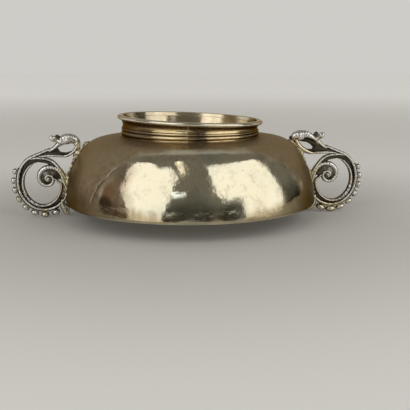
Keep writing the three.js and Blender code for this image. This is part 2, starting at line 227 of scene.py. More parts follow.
def swept(bm, stations, spacing=0.45, sides=16, squareness=1.0, lumps=0.0, seed=0.0):
    """Sweeps a rounded section along stations of (out, up, across, half width, half depth).
    The crest attribute is 1 on the front and back of the section and 0 on its flanks."""
    crest_and_painted_shade = crest_of(bm)
    run = blended(stations, spacing)
    places = [Vector((r[0], r[2], r[1])) for r in run]
    sizes = [(max(r[3], 0.05), max(r[4], 0.05)) for r in run]
    last = len(places) - 1
    tangents = [(places[min(i + 1, last)] - places[max(i - 1, 0)]).normalized() for i in range(last + 1)]
    rings = [end_ring(places[0], tangents[0], sizes[0], -1, angle) for angle in END_ANGLES]
    rings += [(p, t, *s) for p, t, s in zip(places, tangents, sizes)]
    rings += [end_ring(places[-1], tangents[-1], sizes[-1], 1, angle) for angle in reversed(END_ANGLES)]
    loop = bmesh.ops.create_circle(bm, segments=sides, radius=1)["verts"]
    for v in loop:
        v[crest_and_painted_shade] = abs(v.co.y)
        for axis in (0, 1):
            v.co[axis] = math.copysign(abs(v.co[axis]) ** squareness, v.co[axis])
    edges = list({e for v in loop for e in v.link_edges})
    first = edges
    placed = Matrix.Identity(4)
    for i, (place, tangent, width, depth) in enumerate(rings):
        if i:
            made = bmesh.ops.extrude_edge_only(bm, edges=edges)["geom"]
            edges = [g for g in made if isinstance(g, bmesh.types.BMEdge)]
            loop = [g for g in made if isinstance(g, bmesh.types.BMVert)]
        side = Vector((0, 1, 0)).cross(tangent).normalized()
        over = tangent.cross(side)
        swell = 1 + lumps * noise(place * 0.9 + Vector((seed, 0, 0)))
        turn = Matrix((side * width * swell, over * depth * swell, tangent)).transposed().to_4x4()
        wanted = Matrix.Translation(place) @ turn
        bmesh.ops.transform(bm, matrix=wanted @ placed.inverted(), verts=loop)
        placed = wanted
    bmesh.ops.holes_fill(bm, edges=first + edges, sides=0)


def plate(bm, corners, depth, level=0.0):
    """Adds a flat piece in the handle's plane, from its outline."""
    points = [bm.verts.new((out, -depth / 2, up)) for out, up in corners]
    face = bm.faces.new(points)
    made = bmesh.ops.extrude_face_region(bm, geom=[face])["geom"]
    moved = [g for g in made if isinstance(g, bmesh.types.BMVert)]
    bmesh.ops.translate(bm, vec=(0, depth, 0), verts=moved)
    crest_and_painted_shade = crest_of(bm)
    for v in points + moved:
        v[crest_and_painted_shade] = level


def egg(bm, centre, sizes, tilt=0.0, crest_level=None, detail=16):
    """Adds an egg with three half sizes, tilted in the handle's plane."""
    turn = Matrix.Rotation(math.radians(-tilt), 4, "Y")
    matrix = Matrix.Translation(centre) @ turn @ Matrix.Diagonal((*sizes, 1))
    made = bmesh.ops.create_uvsphere(bm, u_segments=detail, v_segments=detail * 3 // 4, radius=1)["verts"]
    crest_and_painted_shade = crest_of(bm)
    for v in made:
        v[crest_and_painted_shade] = abs(v.co.y) if crest_level is None else crest_level
    bmesh.ops.transform(bm, matrix=matrix, verts=made)


def near(distance, width):
    """Falls from 1 at no distance to almost 0 at twice the width."""
    return math.exp(-((distance / width) ** 2))


def clamped(value):
    return min(1.0, max(0.0, value))


# Bowl

side_centre = (RIM_RADIUS - SIDE_ARC_RADIUS, 0)
shoulder_out, shoulder_up = polar(SIDE_ARC_END, SIDE_ARC_RADIUS - SHOULDER_RADIUS)
shoulder_centre = (side_centre[0] + shoulder_out, shoulder_up)
top_radius = SHOULDER_RADIUS + shoulder_centre[0] / polar(SHOULDER_END)[0]
top_centre = (0, shoulder_centre[1] - polar(SHOULDER_END, top_radius - SHOULDER_RADIUS)[1])


def bowl_profile(offset, rim_round):
    """The bowl's surface from the rim to the axis, moved outwards by an offset."""
    start = math.degrees(math.asin(rim_round / (SIDE_ARC_RADIUS + offset)))
    return (
        arc(side_centre, SIDE_ARC_RADIUS + offset, start, SIDE_ARC_END, 26)
        + arc(shoulder_centre, SHOULDER_RADIUS + offset, SIDE_ARC_END, SHOULDER_END, 14)[1:]
        + arc(top_centre, top_radius + offset, SHOULDER_END, 90, 36)[1:-1]
        + [Vector((0, 0, top_centre[1] + top_radius + offset))]
    )


def on_bowl(angle, out=0.0, up=0.0):
    """A point of the bowl's outer surface in handle coordinates, at an angle up its side or shoulder arc."""
    side = angle <= SIDE_ARC_END
    centre = side_centre if side else shoulder_centre
    across, upward = polar(angle, SIDE_ARC_RADIUS if side else SHOULDER_RADIUS)
    return (centre[0] + across - RIM_RADIUS + out, centre[1] + upward + up)


def to_line(out, up, points):
    """The distance of a point from a line through points."""
    best = 1e9
    here = Vector((out, up))
    for a, b in zip(points, points[1:]):
        a, b = Vector(a), Vector(b)
        t = clamped((here - a).dot(b - a) / (b - a).length_squared)
        best = min(best, (here - a.lerp(b, t)).length)
    return best


def hammered(bm):
    """Presses soft hammer marks and a crease into the sheet. They only go inwards and fade at the rim."""
    for v in bm.verts:
        fade = clamped((v.co.z - UNMARKED_RIM) / MARKS_GROW_OVER)
        depth = sum(deep * (1 + noise(v.co * often + Vector(start))) / 2
                    for often, deep, start in HAMMER_MARKS)
        if v.co.y < 0 and DENT_REACH[0] < v.co.x < DENT_REACH[1]:
            depth += DENT_DEPTH * near(to_line(v.co.x, v.co.z, DENT), DENT_HALF_WIDTH)
        inward = Vector((-v.co.x, -v.co.y, 0))
        slope = min(1.0, inward.length / RIM_RADIUS)
        push = inward.normalized() * slope + Vector((0, 0, -0.4 * (1 - slope) - 0.15))
        v.co += push * depth * fade


def bowl():
    rim_round = BOWL_WALL / 2
    outer = bowl_profile(0, rim_round)
    inner = bowl_profile(-BOWL_WALL, rim_round)
    lip = arc((RIM_RADIUS - rim_round, rim_round), rim_round, -10, -170, 8)
    bm = turned(outer[::-1] + lip + inner, BOWL_SIDES)
    hammered(bm)
    matrix = Matrix.Translation((0, 0, RIM_HEIGHT))
    finish_mesh(bm, "bowl_sheet", silver["bowl"], ["bowl"], matrix)


# Foot ring

band_radius = FOOT_RADIUS - MOULDING_WALL - SEAM
band_top = FOOT_HEIGHT - RIM_WIRE_HEIGHT - SEAM
moulding_height = 2 * (LOWER_ROLL_RADIUS + UPPER_ROLL_RADIUS)


def bowl_top_height(radius):
    return top_centre[1] + math.sqrt(top_radius ** 2 - radius ** 2) + RIM_HEIGHT - FOOT_BASE


def foot_piece(profile, name, node, shade, material="foot"):
    """Turns a profile whose heights start at the foot's base, and leans it.
    The shade gives the finish's crest and paleness at a radius and a height."""
    bm = turned([Vector((radius, 0, height)) for radius, height in profile], FOOT_SIDES)
    pale = bm.verts.layers.float.new("pale")
    crest_and_painted_shade = crest_of(bm)
    for v in bm.verts:
        radius = math.hypot(v.co.x, v.co.y)
        v[crest_and_painted_shade], v[pale] = shade(radius, v.co.z)
        share = clamped(v.co.z / band_top)
        wobble = FOOT_WOBBLE * (noise(v.co * 0.11) - 1) / 2
        if v.co.y < 0 and radius > band_radius + 0.3 and v.co.z < band_top:
            # Painted shade: both ends and a stripe of the front are darkened
            ends = clamped((abs(v.co.x) - FOOT_PAINTED_SHADE["ends_from"]) / FOOT_PAINTED_SHADE["ends_over"])
            stripe = near(v.co.x - FOOT_PAINTED_SHADE["stripe"], FOOT_PAINTED_SHADE["stripe_width"])
            v[crest_and_painted_shade] -= FOOT_PAINTED_SHADE["share"] * (ends + stripe)
            seam = near(v.co.x - FOOT_SEAM["x"], FOOT_SEAM["half_width"])
            wobble += FOOT_SEAM["height"] * seam
            v[pale] += FOOT_SEAM["pale"] * seam
        outward = Vector((v.co.x, v.co.y, 0)).normalized()
        v.co += outward * wobble
        v.co.z -= v.co.x * math.tan(math.radians(FOOT_LEAN)) * share
    finish_mesh(bm, name, silver[material], [node], Matrix.Translation((0, 0, FOOT_BASE)))


def graded(height, steps):
    """The value at a height, from steps of (height, value)."""
    for (low, first), (high, second) in zip(steps, steps[1:]):
        if height <= high:
            return first + (second - first) * clamped((height - low) / (high - low))
    return steps[-1][1]


def roll(centre, radius, start, end, steps):
    """The round part of a foot profile, as pairs of radius and height."""
    return [(p.x, p.z) for p in arc(centre, radius, start, end, steps)]


def foot_band():
    """The wall, hollow above the moulding and flared at its top."""
    step = moulding_height
    inside = band_radius - BAND_WALL
    levels = 14
    outer, inner = [], []
    for i in range(levels + 1):
        t = i / levels
        hollow = BAND_FLARE * t ** 3.2 - BAND_HOLLOW * math.sin(math.pi * t ** 0.8)
        outer.append((FOOT_RADIUS - 0.25 + hollow, step + (band_top - step) * t))
        inner.append((inside + BAND_FLARE * t, band_top * t))
    top_out, top_in = outer[-1][0], inner[-1][0]
    top = [(top_out - 0.05, band_top), (top_in + 0.05, band_top), (top_in - 0.01, band_top - 0.05),
           (top_in - 0.02, band_top - 0.12)]
    profile = [(band_radius, 0.0), (band_radius, step - 0.05)] + outer + top + inner[-2::-1]
    # Outside, the wall is dark at the joint with the moulding, then gold low down as a painted highlight and
    # browner towards the top as a painted shadow under the rim wire
    outside = [(step, 0.1), (step + 0.3, 1), (step + 1.3, 0.8), (step + 2.3, 0.3), (band_top, 0.05)]

    def shade(radius, height):
        if radius < inside + BAND_FLARE * height / band_top + 0.3:
            return 1.2, 0.4
        return graded(height, outside), 0

    foot_piece(profile, "foot_band_strip", "foot_band", shade)


def foot_moulding():
    """Two rolls with a dark groove between them."""
    back = FOOT_RADIUS - MOULDING_WALL
    groove = 2 * LOWER_ROLL_RADIUS
    profile = [(back, 0.0), (back + 0.1, 0.0)]
    for radius, bottom in ((LOWER_ROLL_RADIUS, 0), (UPPER_ROLL_RADIUS, groove)):
        profile += roll((FOOT_RADIUS - 0.8 * radius, bottom + radius), radius, -78, 78, 14)
    profile.append((back, moulding_height - 0.02))
    shades = [(0, 0), (0.45, 0.85), (groove - 0.4, 1), (groove, -0.2), (groove + 0.3, 0.9),
              (moulding_height - 0.2, 1), (moulding_height, 0)]
    foot_piece(profile, "foot_moulding_rolls", "foot_moulding",
               lambda radius, height: (graded(height, shades), 0.1))


def foot_rim_wire():
    """The wire that the cup stands on in use."""
    outside = FOOT_RADIUS + BAND_FLARE + RIM_WIRE_WIDTH / 2
    bottom = band_top + 0.02
    inside = band_radius - BAND_WALL + BAND_FLARE + 0.02
    half = (FOOT_HEIGHT - bottom) / 2
    edge = roll((outside - half, bottom + half), half, -90, 62, 12)
    lip = BAND_FLARE * (FOOT_HEIGHT - band_top) / band_top
    profile = edge + [(outside - half, FOOT_HEIGHT), (inside + lip + 0.25, FOOT_HEIGHT),
                      (inside + lip, FOOT_HEIGHT - 0.25), (inside + lip - 0.01, FOOT_HEIGHT - 0.32),
                      (inside + 0.02, bottom + 0.15), (inside, bottom + 0.04), (inside + 0.04, bottom)]
    shades = [(bottom, 0), (bottom + 0.35, 0.5), (bottom + 0.6, 1), (FOOT_HEIGHT, 1)]

    def shade(radius, height):
        if radius < inside + lip + 0.1:
            return 1.2, 0.45
        return graded(height, shades), 0.9

    foot_piece(profile, "foot_edge_wire", "foot_rim_wire", shade)


def foot_solder():
    """A hollow fillet from the bowl up to the moulding."""
    inside = FOOT_RADIUS + 0.1
    outside = FOOT_RADIUS + 0.2 * LOWER_ROLL_RADIUS + 0.5
    hollow = []
    for t in (1, 0.8, 0.6, 0.4, 0.2, 0):
        radius = inside + (outside - inside) * t
        hollow.append((radius, bowl_top_height(radius) + 0.75 * (1 - t) ** 2 - 0.05))
    profile = hollow + [(radius, bowl_top_height(radius) - 0.35) for radius in (inside, outside)]
    foot_piece(profile, "foot_solder_fillet", "foot_solder", lambda radius, height: (0.8, 0),
               "foot_solder")


# Handles

def ring_point(ring, angle, grow=0.0):
    """A point of an oval ring in handle coordinates, or outside it by grow."""
    across, upward = polar(angle)
    width, height = ring["half_width"] + grow, ring["half_height"] + grow
    return (ring["out"] + width * across, ring["up"] + height * upward)


def ring_run(ring, start, end, count):
    return [ring_point(ring, start + (end - start) * i / count) for i in range(count + 1)]


def volute_point(turned_by):
    """A point of the spiral, which tightens faster after its first half turn."""
    outer, inner = math.radians(min(turned_by, 180)), math.radians(max(turned_by - 180, 0))
    radius = VOLUTE["radius"] * math.exp(-VOLUTE["tightening"] * outer - VOLUTE["inner_tightening"] * inner)
    across, upward = polar(180 - turned_by, radius)
    return (VOLUTE["out"] + across, VOLUTE["up"] + upward)


def strand(points, section):
    """Stations at points, where section gives half width and depth from 0 at the start to 1 at the end."""
    last = len(points) - 1
    return [(out, up, 0.0, *section(i / last)) for i, (out, up) in enumerate(points)]


def sized(points, width, depth, start=0.75, end=0.75, run=0.12):
    """Stations that are slimmer at the two ends of the strand."""
    def section(t):
        share = min(1, start + (1 - start) * t / run, end + (1 - end) * (1 - t) / run)
        return width * share, depth * (0.4 + 0.6 * share)

    return strand(points, section)


SHAFT = [(7.4, 28.6), (9.6, 28.3), (11.9, 27.3), (14.5, 26.2), (17.1, 25.1), (19.2, 24.1)]
TOP_RUN = [(20.4, 22.8), (18.1, 23.7), (15.6, 24.1), (13, 24), (10.5, 23.6), (8, 22.8), (5.9, 21.2),
           (4.1, 19.2)]
TOP_LANDING = [(2.7, 17.3), (1.4, 15.5), (0.4, 13.4), (-0.6, 11.4)]
CHIN_RUN = [(14.7, 25), (11.4, 25.2), (7.9, 25.4), (3.5, 25.3), (-0.3, 25.1)]
FORK = [(14.7, 25), (16.2, 25.4), (11.9, 27.2), (9.6, 28.2), (7.6, 28.6)]
FORK_WEBS = {
    "left": [(5.6, 29.7), (4.2, 30.8), (3.6, 29.2), (2.3, 27.3), (-0.9, 26.9), (-4.2, 27.9), (-5.4, 29.4),
             (-6.6, 29.8), (-5.3, 28), (-3.1, 26.2)],
    "right": [(5.2, 29.9), (2.5, 31.8), (-1, 33.4), (-4.5, 34.2), (-7.4, 33.4), (-6.9, 31.9), (-3.3, 31.3),
              (-1, 30), (0.6, 28.3), (0.1, 27.2), (-3.2, 27.3), (-5.8, 29), (-7.4, 31), (-8.2, 30),
              (-6.2, 27.9), (-3.6, 26.3)],
}


def bead_places():
    """Each bead's angle round the outer ring, its size and its middle."""
    for i in range(BEAD_COUNT):
        angle = FIRST_BEAD_ANGLE - BEAD_PITCH * i - BEAD_PITCH_GROWTH * i * i
        size = SMALLEST_BEAD + (LARGEST_BEAD - SMALLEST_BEAD) * i / (BEAD_COUNT - 1)
        yield angle, size, ring_point(OUTER_RING, angle, BEAD_OFF_SCROLL + size)


def chased(bm, start, end):
    """Small punched marks on the broad stretch of the inner ring, between two angles round it."""
    crest_and_painted_shade = crest_of(bm)
    bm.normal_update()
    for v in bm.verts:
        angle = math.degrees(math.atan2((v.co.z - INNER_RING["up"]) / INNER_RING["half_height"],
                                        (v.co.x - INNER_RING["out"]) / INNER_RING["half_width"]))
        if end < angle < start and v[crest_and_painted_shade] > 0.5:
            mark = max(0.0, noise(Vector((v.co.x * 1.7, v.co.y * 0.5, v.co.z * 1.7))) - 0.08)
            v.co -= v.normal * min(0.22, mark)
            v[crest_and_painted_shade] = max(0.12, v[crest_and_painted_shade] - 3.2 * mark)


def outer_scroll(bm, side):
    ring = ring_run(OUTER_RING, SCROLL_START - 4, SCROLL_END, 28)
    end = ring[-1]
    points = SHAFT + ring + [(end[0] - 1.6, end[1] + 2.6)]
    swept(bm, sized(points, 0.88, 2.3, start=0.8, end=0.7), lumps=0.12, seed=3)
    web = ring_run(OUTER_RING, WEB_END - 18, SCROLL_START, 26) + TOP_RUN
    web += [volute_point(angle) for angle in (10, 35, 60, 90)]
    cusp = web[-1]
    web += [(cusp[0] - 0.3, cusp[1] + 1.9), (cusp[0] + 1, cusp[1] + 2.5)]
    web += ring_run(INNER_RING, RING_START, WEB_END - 24, 26)
    plate(bm, web, WEB_DEPTH, 0.1)
    # A thin scalloped ground carries the beads, with a fine ridge between them and the scroll
    places = list(bead_places())
    steps = 96
    first, last = places[0][0] + 9, places[-1][0] - 10
    scallops = []
    for k in range(steps + 1):
        angle = first + (last - first) * k / steps
        reach = max(0.9, max(s * 1.25 - abs(angle - a) * 0.16 * s for a, s, _ in places))
        scallops.append(ring_point(OUTER_RING, angle, 0.6 + reach * 0.8))
    plate(bm, scallops + ring_run(OUTER_RING, last, first, 40), GROUND_DEPTH, GROUND_CREST)
    crest_and_painted_shade = crest_of(bm)
    low = OUTER_RING["up"] - OUTER_RING["half_height"] * 0.86
    for v in bm.verts:
        if side == "right" and v[crest_and_painted_shade] == GROUND_CREST and v.co.z < low:
            v[crest_and_painted_shade] = 0.85
    fine = [
        ring_point(OUTER_RING, first + (last - first) * k / 60, 1.35 + 0.12 * (k % 3 == 1)) for k in range(61)
    ]
    swept(bm, sized(fine, 0.32, 1.35, start=0.4, end=0.4), spacing=0.5, sides=10, lumps=0.5, seed=9)


def inner_ring(bm):
    points = ring_run(INNER_RING, RING_START, RING_END, 34)
    end = volute_point(362)
    points += [(end[0] - 2.6, end[1] - 1.6), (end[0] - 1.5, end[1] - 0.5), end]

    def section(t):
        share = min(1, 0.3 + 0.7 * t / 0.1) * (0.88 + 0.62 * near(t - 0.42, 0.17))
        return 0.75 * share, 2.05 * min(1, share + 0.15)

    swept(bm, strand(points, section), lumps=0.12, seed=5)
    chased(bm, -12, -96)


def volute(bm):
    stem = [(-0.7, 6.4), (0.1, 8.4), (0.9, 10.6)]
    spiral = [volute_point(VOLUTE["turn"] * i / 40) for i in range(1, 41)]

    def section(t):
        return 1.15 * (1 - 0.34 * t) + 0.35 * near(t - 0.22, 0.1), 1.95 - 0.1 * t

    swept(bm, strand(stem + spiral, section), spacing=0.3, lumps=0.1, seed=7)
    plate(bm, [volute_point(14 * i) for i in range(26)], WEB_DEPTH, 0.45)
    egg(bm, (VOLUTE["out"], 0, VOLUTE["up"]), (1.15, 2.15, 1.15), crest_level=0.9, detail=20)
    fluted(bm)


def fluted(bm):
    """Short radial flutes on the volute's outer turn."""
    crest_and_painted_shade = crest_of(bm)
    bm.normal_update()
    for v in bm.verts:
        out, up = v.co.x - VOLUTE["out"], v.co.z - VOLUTE["up"]
        reach = math.hypot(out, up)
        angle = math.atan2(up, out)
        if 3.2 < reach < 8.6 and v[crest_and_painted_shade] > 0.45:
            flute = max(0.0, math.sin(angle * 26)) ** 2
            here = near(angle - 1.9, 0.9)
            v.co -= v.normal * 0.16 * flute * here
            v[crest_and_painted_shade] -= 0.5 * flute * here


def top_strand(bm):
    swept(bm, sized(TOP_RUN + TOP_LANDING, 0.85, 1.9, start=0.35, end=0.9, run=0.2), lumps=0.1, seed=11)


CHIN_RISES = {
    "left": ([(-3.1, 26.2), (-5.3, 28), (-6.8, 30.2), (-7.2, 32.2)], 0.85),
    "right": ([(-3.6, 26.3), (-6.2, 27.9), (-8.2, 30), (-9.2, 32)], 1.35),
}


def chin_strand(bm, side):
    rise, width = CHIN_RISES[side]
    stations = sized(CHIN_RUN + rise, 0.85, 1.75, start=0.35, end=0.9, run=0.2)
    for i in range(len(CHIN_RUN), len(stations)):
        out, up, across, _, depth = stations[i]
        stations[i] = (out, up, across, width, depth + (width - 0.85) * 0.7)
    swept(bm, stations, lumps=0.1, seed=13)
    plate(bm, FORK + FORK_WEBS[side] + CHIN_RUN[3:0:-1], WEB_DEPTH, 0.08)


def neck(bm):
    points = [(9.2, 28.4), (7.6, 28.4), (6, 29.3), (4.6, 30.4), (3.2, 31.8), (2.2, 33)]
    stations = [(o, u, 0.0, w, 1.9) for (o, u), w in zip(points, (0.75, 1.05, 1.0, 1.15, 1.4, 1.6))]
    swept(bm, stations, lumps=0.1, seed=15)
    # The collar where the neck joins the scroll
    swept(bm, [(8.7, 29.3, 0, 0.25, 1.6), (8.3, 28.4, 0, 0.5, 2.25), (7.9, 27.5, 0, 0.25, 1.6)], spacing=0.3)


# The heads: stations of the body, lines cut into both cheeks with their half width and depth, and eye rings
HEADS = {
    "left": (
        [(3.4, 31.2, 0, 1.2, 1.7), (2, 32.4, 0, 1.7, 2.1), (0.2, 33.9, 0, 2.8, 2.6),
         (-2.2, 34.6, 0, 2.85, 2.8), (-4.6, 34.4, 0, 2.5, 2.7), (-6.4, 33.3, 0, 2.2, 2.3),
         (-7.1, 31.5, 0, 1.8, 1.9), (-7.4, 29.8, 0, 1.2, 1.4)],
        [([(-2.2, 35), (-4.3, 34.9), (-6, 33.8), (-6.5, 32.4)], 0.3, 0.45),
         ([(1.5, 35.6), (0.9, 34.2), (1.1, 32.6)], 0.25, 0.3),
         ([(-3.3, 33.3), (-4.9, 33.1), (-5.6, 32)], 0.22, 0.2),
         ([(-7.2, 35), (-8.2, 33.6)], 0.22, 0.25),
         ([(-5.8, 36), (-6.2, 35.2)], 0.2, 0.2)],
        [(-0.8, 35.4, 0.75), (-2, 33.5, 0.6)],
    ),
    "right": (
        [(3.4, 31, 0, 1.2, 1.7), (1.6, 32.6, 0, 1.5, 2.1), (-1.2, 34.3, 0, 1.95, 2.4),
         (-3.6, 35.3, 0, 2.3, 2.6), (-6.1, 35.2, 0, 2.75, 2.8), (-8.4, 34.8, 0, 2.9, 2.7),
         (-10.8, 34.2, 0, 2.3, 2.2), (-12, 33.8, 0, 1.3, 1.5)],
        [([(-2.4, 36.2), (-2.9, 34.8)], 0.2, 0.25),
         ([(-3.7, 36.8), (-4.1, 34.9)], 0.2, 0.3),
         ([(-4.9, 37.3), (-5.2, 34.8)], 0.2, 0.3),
         ([(-6.2, 37.5), (-6.3, 35.2)], 0.2, 0.25),
         ([(-12.4, 33.4), (-10.4, 33.1), (-8.6, 33.4)], 0.28, 0.4),
         ([(0.8, 31.8), (-1.6, 33), (-4.6, 33.6)], 0.8, 0.4)],
        [(-8.2, 35.6, 0.7)],
    ),
}
RIGHT_NOSE = (-12.3, 33.9, 1.15)


def head(bm, side):
    body, cuts, eyes = HEADS[side]
    crest_and_painted_shade = crest_of(bm)
    swept(bm, body, spacing=0.2, sides=40, squareness=0.85)
    bm.normal_update()
    for v in bm.verts:
        v[crest_and_painted_shade] = 1.15
        push = 0.12 * noise(v.co * 0.8)
        for points, width, depth in cuts:
            cut = near(to_line(v.co.x, v.co.z, points), width)
            push -= depth * cut
            v[crest_and_painted_shade] -= 1.1 * cut
        for out, up, radius in eyes:
            reach = math.hypot(v.co.x - out, v.co.z - up)
            well = near(reach - radius * 0.5, 0.16)
            push += 0.24 * near(reach - radius, 0.2) - 0.2 * well
            v[crest_and_painted_shade] -= 0.9 * well
        if abs(v.co.y) > 0.5:
            v.co += v.normal * push
        v[crest_and_painted_shade] = max(0.02, v[crest_and_painted_shade])
    if side == "right":
        out, up, radius = RIGHT_NOSE
        egg(bm, (out, 0, up), (radius, 1.3 * radius, radius), crest_level=0.0, detail=20)


# Where each ear's ball is, and how far it stands to the side of the handle's plane
EARS = {
    ("left", "front"): (6.3, 35.4, 3), ("left", "back"): (4, 35.2, 2.9),
    ("right", "front"): (5, 35.7, 3), ("right", "back"): (3, 35.4, 3),
}


def ear(bm, side, place, sign):
    out, up, across = EARS[side, place]
    base = Vector((2.1, 32.6, 1.2))
    tip = Vector((out, up, across))
    stations = []
    for t, size in ((0, 1.2), (0.3, 1.1), (0.52, 1.1), (0.7, 1.4), (0.84, 1.6), (0.96, 1.6), (1.06, 1.3)):
        at = base.lerp(tip, t)
        stations.append((at.x, at.y, sign * at.z, size, size))
    swept(bm, stations, spacing=0.25, sides=20)
    crest_and_painted_shade = crest_of(bm)
    # The back ear's lower level is painted shade: it is coloured darker than the front ear
    level = 1.1 if place == "front" else 0.35
    hollow = base.lerp(tip, 0.6)
    for v in bm.verts:
        v[crest_and_painted_shade] = level - 0.4 * near(math.hypot(v.co.x - hollow.x, v.co.z - hollow.y + 0.4), 0.3)


def rim_leaf(bm):
    stations = [
        (2.3, 0.2, 0, 0.9, 1.6), (2.2, -1.6, 0, 1.4, 2), (1.6, -3.4, 0, 1.9, 2.1), (1.1, -5.1, 0, 1.5, 1.9),
        (0.4, -6.4, 0, 1.5, 1.8), (-0.8, -7.7, 0, 0.9, 1.2),
    ]
    swept(bm, stations, spacing=0.3, lumps=0.15)
    swept(bm, [(0.6, -2.6, 0, 0.5, 1.5), (-0.6, -4, 0, 0.9, 1.7), (-1.1, -5.8, 0, 0.5, 1)], spacing=0.3)


def solder_seam(bm, seed):
    count = 34
    stations = []
    for i in range(count + 1):
        angle = SOLDER_RUN[0] + (SOLDER_RUN[1] - SOLDER_RUN[0]) * i / count
        lift = polar(angle, 0.3 + 0.3 * noise(Vector((i * 0.7, seed, 3.5))))
        width = 0.85 + 0.35 * noise(Vector((i * 0.6, seed, 0.5)))
        depth = 1.5 + 0.5 * noise(Vector((i * 0.5, seed, 9.5)))
        stations.append((*on_bowl(angle, *lift), 0.0, width, depth))
    swept(bm, stations, spacing=0.35, sides=20, lumps=0.45, seed=seed)
    for angle, (length, width, heap) in SOLDER_HEAPS.items():
        out, up = on_bowl(angle)
        egg(bm, (out, 0, up), (heap + SEAM, width, length), angle, detail=24)
    # Solder also fills the narrow space between the bowl and the volute's stem
    plate(bm, [on_bowl(21), (0.2, 15), (1.5, 12.6), (2.1, 10), (2.2, 7.6), (2.6, 5.5), (3.4, 3.4), (2.8, 1.2),
               (2.7, -0.8), (1.4, -1.2), (0.2, -0.4)], 2, 0.45)
    bm.normal_update()
    for v in bm.verts:
        v.co += v.normal * 0.3 * noise(v.co * 0.9 + Vector((seed, 0, 0)))


def bead(bm, place, side):
    angle, size, (out, up) = place
    lobe = LOBED["along"] if side == "right" and angle < LOBED["below"] else BEAD_LENGTH
    egg(bm, (out, 0, up), (size - 0.02, 1.3 * size, lobe * size - 0.02), angle, detail=24)
    bm.normal_update()
    for v in bm.verts:
        v.co -= v.normal * 0.1 * (1 + noise(v.co * 0.9))


def handle(side):
    turn = Matrix.Rotation(math.pi if side == "left" else 0, 4, "Z")
    matrix = turn @ Matrix.Translation((RIM_RADIUS, 0, RIM_HEIGHT))
    front = 1 if side == "left" else -1
    pieces = [
        ("outer_scroll", outer_scroll, side), ("inner_ring", inner_ring), ("volute", volute),
        ("top_strand", top_strand), ("chin_strand", chin_strand, side), ("neck", neck), ("head", head, side),
        ("front_ear", ear, side, "front", front), ("back_ear", ear, side, "back", -front),
        ("rim_leaf", rim_leaf),
    ]
    pieces += [(f"bead_{i + 1}", bead, place, side) for i, place in enumerate(bead_places())]
    for name, make, *how in pieces:
        bm = cast_mesh()
        make(bm, *how)
        finish_mesh(bm, f"{side}_{name}_cast", silver["handle"], [f"{side}_{name}"], matrix)
    bm = cast_mesh()
    solder_seam(bm, 1.0 if side == "left" else 5.0)
    finish_mesh(bm, f"{side}_solder_run", silver["solder"], [f"{side}_solder_seam"], matrix)


# Materials

class Nodes:
    """Adds nodes to a tree, and links them, by short calls."""

    def __init__(self, tree):
        self.tree = tree

    def add(self, kind, settings=None, **inputs):
        """Adds a shader node, and sets or links its inputs by name."""
        made = self.tree.nodes.new("ShaderNode" + kind)
        for key, value in (settings or {}).items():
            setattr(made, key, value)
        for key, value in inputs.items():
            self.give(made.inputs[key], value)
        return made

    def give(self, socket, value):
        if isinstance(value, bpy.types.NodeSocket):
            self.tree.links.new(value, socket)
        elif isinstance(value, tuple) and len(value) == 3 and socket.type == "RGBA":
            socket.default_value = (*value, 1)
        else:
            socket.default_value = value

    def filled(self, kind, settings, values, places=range(5)):
        """Adds a node, gives its inputs values by their numbers, and returns its outputs."""
        made = self.add(kind, settings)
        for place, value in zip(places, values):
            self.give(made.inputs[place], value)
        return made.outputs

    def math(self, operation, *values):
        return self.filled("Math", {"operation": operation}, values)[0]

    def times(self, first, second):
        return self.math("MULTIPLY", first, second)

    def ramp(self, value, low, high, start=0.0, end=1.0):
        """Goes smoothly from start to end as value goes from low to high."""
        values = (value, low, high, start, end)
        return self.filled("MapRange", {"interpolation_type": "SMOOTHSTEP"}, values)["Result"]

    def ramp_mm(self, value, low, high, start=0.0, end=1.0):
        """The same over a length, with its ends in millimetres."""
        return self.ramp(value, low * MM, high * MM, start, end)

    def mix(self, share, first, second):
        """Mixes two colours."""
        return self.filled("Mix", {"data_type": "RGBA"}, (share, first, second), (0, 6, 7))[2]

    def blend(self, share, first, second):
        """Mixes two numbers."""
        return self.filled("Mix", {}, (share, first, second), (0, 2, 3))[0]


